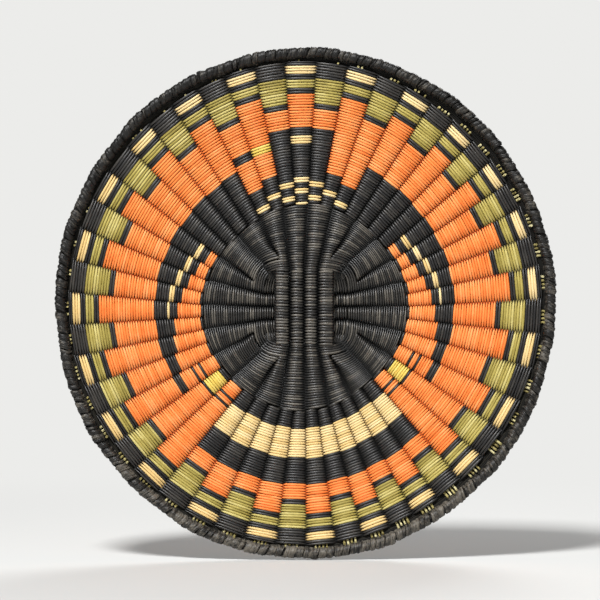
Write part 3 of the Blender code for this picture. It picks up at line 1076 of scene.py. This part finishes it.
def stemMaterial(name, look, grain="round"):
    # Dyed or bare stems: streaks along the stem, a tone of its own for each, and faded spots
    look = {**usualLook, **look}
    sheet = Sheet(bpy.data.materials.new(name))
    place = sheet.objectPlace()
    parts = sheet.node("ShaderNodeSeparateXYZ", None, {0: place})
    x, y, z = parts["X"], parts["Y"], parts["Z"]
    if grain == "round":
        angle = x.maths("ARCTAN2", x, z)
        radius = sheet.lengthOf(sheet.vector(x, 0.0, z))
        streaks = sheet.vector(angle * stemGrain["turnStretch"], radius, y)
    elif grain == "level":
        streaks = sheet.vector(x * stemGrain["stretch"], y, z)
    else:
        streaks = sheet.vector(x, y, z * stemGrain["stretch"])
    fibre = sheet.noise(streaks, *stemGrain["fibre"])
    mottle = sheet.noise(place, *stemGrain["mottle"])
    mottleShare = 1 - look["toneShare"] - look["fibreShare"]
    level = sheet.attribute("tone") * look["toneShare"] + fibre * look["fibreShare"]
    level = level + mottle * mottleShare
    colour = sheet.ramp(level, stemGrain["stops"], look["ramp"])
    if "deep" in look:
        # Painted shade: the colour turns to the dark one where the stem dives between its
        # neighbours, and low at the sides of each weft
        high = sheet.smoothStep(sheet.attribute("crest"), look["deepFrom"], look["deepUpTo"])
        inputs = {0: high, 6: linear(*look["deep"]), 7: colour}  # factor and the two colours
        colour = sheet.node("ShaderNodeMix", {"data_type": "RGBA"}, inputs)[2]
    sheet.set("Base Color", colour)
    sheet.set("Roughness", look["roughness"] + stemGrain["roughSpread"] * fibre)
    sheet.set("Specular IOR Level", look["specular"])
    sheet.bump(fibre, *stemGrain["bump"])
    return sheet.owner


# Grain of the binding's leaf, and how tone, fibre and patches share in its colour
leafGrain = {
    "fibre": (1300.0, 3.0, 0.7),
    "patch": (300.0, 3.0, 0.6),
    "stretch": 0.08,
    "toneShift": 0.02,
    "shares": (0.4, 0.9, 0.6),
    "darker": 0.45,
    "patchRelief": 0.5,
    "bump": (0.8, 0.0004),
    "roughSpread": 0.2,
    "stops": (0.28, 0.5, 0.78),
}


def bindingMaterial(name, look):
    # A flat strip of leaf, darkened, with fine fibres along it, lighter or darker with each turn's
    # tone, which holds the painted shade on the left
    sheet = Sheet(bpy.data.materials.new(name))
    across, along, tone = (sheet.attribute(title) for title in ("across", "along", "tone"))
    drawn = sheet.vector(across, along * leafGrain["stretch"], tone * leafGrain["toneShift"])
    fibre = sheet.noise(drawn, *leafGrain["fibre"])
    patch = sheet.noise(sheet.objectPlace(), *leafGrain["patch"])
    toneShare, fibreShare, patchShare = leafGrain["shares"]
    level = tone * toneShare + fibre * fibreShare + patch * patchShare - leafGrain["darker"]
    sheet.set("Base Color", sheet.ramp(level, leafGrain["stops"], look["ramp"]))
    sheet.set("Roughness", look["roughness"] + leafGrain["roughSpread"] * fibre)
    sheet.set("Specular IOR Level", look["specular"])
    sheet.bump(fibre + patch * leafGrain["patchRelief"], *leafGrain["bump"])
    return sheet.owner


# Each dye, stem and leaf: its colours from dark to light, and the painted shade colour down in the
# weave, with the heights there between which that fades out. The stem's own tone has a share in the
# level.
usualLook = {
    "roughness": 0.42,
    "specular": 0.25,
    "toneShare": 0.45,
    "fibreShare": 0.35,
    "deepFrom": -0.6,
    "deepUpTo": 0.15,
}
looks = {
    "orange": {
        "deep": (160, 62, 18),
        "ramp": ((222, 104, 36), (248, 142, 72), (255, 182, 118)),
        "specular": 0.2,
        "toneShare": 0.24,
    },
    "green": {
        "deep": (58, 50, 18),
        "ramp": ((116, 102, 38), (178, 162, 86), (220, 208, 140)),
        "toneShare": 0.34,
    },
    "cream": {
        "deep": (80, 56, 26),
        "ramp": ((216, 180, 112), (230, 200, 138), (242, 218, 166)),
        "specular": 0.3,
    },
    "yellow": {
        "deep": (70, 48, 12),
        "ramp": ((196, 160, 62), (228, 198, 94), (246, 222, 132)),
        "toneShare": 0.3,
    },
    "black": {
        "deep": (3, 3, 3),
        "ramp": ((16, 15, 15), (30, 28, 27), (74, 70, 64)),
        "roughness": 0.36,
        "specular": 0.5,
        "toneShare": 0.3,
        "deepFrom": -0.3,
        "deepUpTo": 0.5,
    },
    "umber": {
        "deep": (3, 3, 3),
        "ramp": ((14, 13, 11), (38, 35, 31), (112, 106, 96)),
        "roughness": 0.36,
        "specular": 0.6,
        "deepFrom": -0.1,
        "deepUpTo": 0.5,
    },
    # Painted shade: the stems are near-black for the shade they lie in inside the weave; their own
    # pale colour shows on the tips
    "stem": {
        "ramp": ((10, 9, 7), (20, 18, 13), (36, 33, 24)),
        "roughness": 0.6,
        "specular": 0.2,
    },
    "tip": {
        "ramp": ((98, 86, 46), (166, 154, 98), (226, 218, 174)),
        "roughness": 0.55,
        "specular": 0.3,
    },
    "binding": {
        "ramp": ((7, 6, 5), (29, 27, 24), (108, 102, 92)),
        "roughness": 0.4,
        "specular": 0.4,
    },
}
materials = {"binding": bindingMaterial("bindingStrip", looks.pop("binding"))}
for name, look in looks.items():
    materials[name] = stemMaterial(f"{name}Weft", look)
materials["umberLevel"] = stemMaterial("umberLevelWeft", looks["umber"], "level")
materials["umberUpright"] = stemMaterial("umberUprightWeft", looks["umber"], "upright")

# Which CAD nodes each piece stands for, by how its name begins
uprightRibs = [f"upright_rib_{n}" for n in range(1, 9)]
levelRibs = [f"level_rib_{n}" for n in range(1, 9)]
ownPanels = [f"{side}_{part}" for side in ("right", "left") for part in ("body", "wing", "talon")]
ownPanels += ["head", "first_ring", "inner_ring", "front_mat", "back_mat"]
nodesOf = {panel: [f"{panel}_weave"] for panel in ownPanels} | {
    "border": ["border_ring_weave"],
    "ring": ["green_ring_weave"],
    "field": [
        "field_above_head_weave",
        "field_below_tail_weave",
        "right_field_weave",
        "left_field_weave",
    ],
    "beak": ["left_field_weave"],
    "tail_black": ["tail_base_weave", "tail_tip_weave"],
    "tail_cream": ["tail_band_weave"],
    "upright_rib": uprightRibs,
    "level_rib": levelRibs,
    "rib_tips": uprightRibs,
    "bent_rib": levelRibs,
    "corner_rib": [
        f"{corner}_rib_{n}"
        for corner in ("upper_right", "lower_right", "lower_left", "upper_left")
        for n in range(1, 5)
    ],
}


# A piece's finish, by the first of these words that its name holds
finishWords = {colour: colour for colour in ("orange", "green", "cream", "yellow", "black")}
finishWords |= {"field": "orange", "body": "orange", "talon": "yellow", "beak": "yellow"}
finishWords |= {"tips": "tip", "stems": "stem", "wefts": "umber"}


def finishOf(name):
    return next(finish for word, finish in finishWords.items() if word in name)


def settle(piece, materialName, nodes):
    piece.data.materials.clear()
    piece.data.materials.append(materials[materialName])
    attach(piece, "root")
    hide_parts(*nodes)


makeOuterWefts()
makeInnerWefts()
makeShortRows()
makeMatWefts("front_mat_wefts", inner["startHeight"] + mats["overrun"], "upright")
makeMatWefts("back_mat_wefts", plaque["matHalfWidth"], "level")
makeRibs()
makeBentStems()
print(f"stage: {sum(len(group) for group in strands.values())} strands laid out")

oval = ovalProfile()
longestFirst = sorted(nodesOf, key=len, reverse=True)
for name in sorted(strands):
    piece = meshFromCurves(name, strands[name], oval if "weft" in name else None)
    finish = finishOf(name)
    grained = {"front_mat_wefts": "umberLevel", "back_mat_wefts": "umberUpright"}.get(name, finish)
    place = next(key for key in longestFirst if name.startswith(key))
    slot = "stem" if finish in ("stem", "tip") else f"{finish}_weft"
    settle(piece, grained, nodesOf[place])
    print(f"stage: {name}, {len(piece.data.polygons)} faces")

bpy.data.objects.remove(oval)

turnStarts = rimTurns()
for n in range(rim["strips"]):
    first = rim["turns"] * n // rim["strips"]
    last = rim["turns"] * (n + 1) // rim["strips"]
    strip = makeRimStrip(f"rim_strip_{n + 1}", turnStarts[first : last + 1])
    settle(strip, "binding", ["rim_binding"])
print("stage: rim bound")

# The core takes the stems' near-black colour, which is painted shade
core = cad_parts["rim_core"]
core.data.materials.clear()
core.data.materials.append(materials["stem"])

# Stage: a pale floor that fades into a pale room, so the plaque shows from every side
stage = {
    "floor": -0.1582,
    "size": 12,
    "fadeFrom": 0.25,
    "fadeTo": 0.8,
    "paper": linear(196, 196, 194),
    "roughness": 0.9,
    "pale": linear(236, 236, 234),
}


def showPale(sheet, usual, kind, output, share=1):
    # The camera sees the pale colour there, and all else meets the usual surface or light
    seen = sheet.node("ShaderNodeLightPath")["Is Camera Ray"]
    pale = sheet.node(kind, None, {"Color": stage["pale"], "Strength": 1.0})[0]
    inputs = {0: share * seen, 1: Wire(sheet, sheet.given(usual).outputs[0]), 2: pale}
    blended = sheet.node("ShaderNodeMixShader", None, inputs)["Shader"]
    sheet.feed(sheet.given(output).inputs["Surface"], blended)


bpy.ops.object.select_all(action="DESELECT")
bpy.ops.mesh.primitive_plane_add(size=stage["size"], location=(0, 0, stage["floor"]))
floor = bpy.context.object
floor.name = "floor"
bpy.ops.object.transform_apply(location=True)
paper = Sheet(bpy.data.materials.new("palePaper"))
paper.set("Base Color", stage["paper"])
paper.set("Roughness", stage["roughness"])
fromMiddle = paper.lengthOf(paper.objectPlace())
far = paper.smoothStep(fromMiddle, stage["fadeFrom"], stage["fadeTo"])
showPale(paper, "Principled BSDF", "ShaderNodeEmission", "Material Output", far)
floor.data.materials.append(paper.owner)

# Light: one broad lamp above and to the left, weak ones to the right and behind, a faint even world
lamps = {
    "key": ((-0.64, -1.6, 2.16), 0.56, 118.0),
    "fill": ((0.9, -1.4, 0.2), 1.2, 2.0),
    "back": ((0.5, 1.3, 1.1), 1.0, 22.0),
}
for name, (spot, size, power) in lamps.items():
    bpy.ops.object.light_add(type="AREA", location=spot)
    lamp = bpy.context.object
    lamp.name = name
    lamp.data.size = size
    lamp.data.energy = power
    lamp.rotation_euler = (-Vector(spot)).to_track_quat("-Z", "Y").to_euler()

daylight = {"colour": (0.86, 0.93, 1.0, 1), "strength": 0.07}
room = Sheet(bpy.data.worlds.new("room"))
room.feed(room.given("Background").inputs["Color"], daylight["colour"])
room.feed(room.given("Background").inputs["Strength"], daylight["strength"])
showPale(room, "Background", "ShaderNodeBackground", "World Output")
bpy.context.scene.world = room.owner
bpy.context.scene.view_settings.view_transform = "Standard"

# Camera: level and face on, so that the rim's middle lands where the photograph has it
photo = {
    "frame": 600,
    "rimMiddle": (305.5, 303.2),
    "metresPerPixel": 0.00063,
    "distance": 1.6,
    "sensor": 36,
}
bpy.ops.object.camera_add()
camera = bpy.context.object
scalePlane = -(plaque["middleDepth"] + plaque["dishDepth"] / 2)
middleX, middleY = photo["rimMiddle"]
pixel = photo["metresPerPixel"]
camera.location = (
    (photo["frame"] / 2 - middleX) * pixel,
    scalePlane - photo["distance"],
    plaque["rimRise"] + (middleY - photo["frame"] / 2) * pixel,
)
camera.rotation_euler = (math.radians(90), 0, 0)
camera.data.sensor_width = photo["sensor"]
camera.data.lens = photo["sensor"] * photo["distance"] / (photo["frame"] * pixel)
bpy.context.scene.camera = camera
print("stage: camera and lights set")
